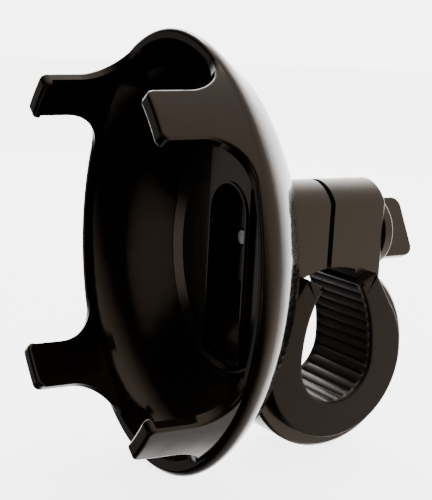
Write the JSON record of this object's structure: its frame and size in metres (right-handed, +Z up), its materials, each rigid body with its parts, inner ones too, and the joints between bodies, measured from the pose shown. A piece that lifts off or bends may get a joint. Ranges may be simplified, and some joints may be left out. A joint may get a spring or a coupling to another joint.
{
  "type": "phone handlebar mount",
  "caption": "Oval dished phone cradle with corner claws on a handlebar strap clamp with a ribbed liner, tightened by a wing knob on one bolt.",
  "frame": {"origin": "on the axis of the handlebar, midway along the clamp liner", "axes": "+X along the handlebar, +Y from the phone towards the knob, +Z up the long axis of the cradle"},
  "size_m": [0.0984, 0.1094, 0.1218],
  "materials": {
    "shell_plastic": "moulded gloss",
    "plate_plastic": "moulded gloss",
    "strap_plastic": "moulded semi-gloss",
    "knob_plastic": "moulded semi-gloss",
    "liner_rubber": "satin moulded rubber",
    "zinc_steel": "zinc plated"
  },
  "bodies": {
    "holder": {"cradle_shell": "shell_plastic", "floor_plate": "plate_plastic", "captive_nut": "zinc_steel", "clamp_strap": "strap_plastic", "clamp_liner": "liner_rubber"},
    "washer": {"knob_washer": "zinc_steel"},
    "knob": {"wing_knob": "knob_plastic", "clamp_bolt": "zinc_steel"}
  },
  "joints": [
    {"name": "screw_travel", "type": "slide", "parent": "holder", "child": "washer", "axis": [0, 1, 0], "range_m": [0, 0.005]},
    {"name": "knob_turn", "type": "hinge", "parent": "washer", "child": "knob", "pos_m": [0, 0.0172, 0.0356], "axis": [0, 1, 0], "range_deg": [0, 2251]}
  ],
  "couplings": [
    {"joint": "knob_turn", "follows": "screw_travel", "rad_per_m": 7854}
  ]
}
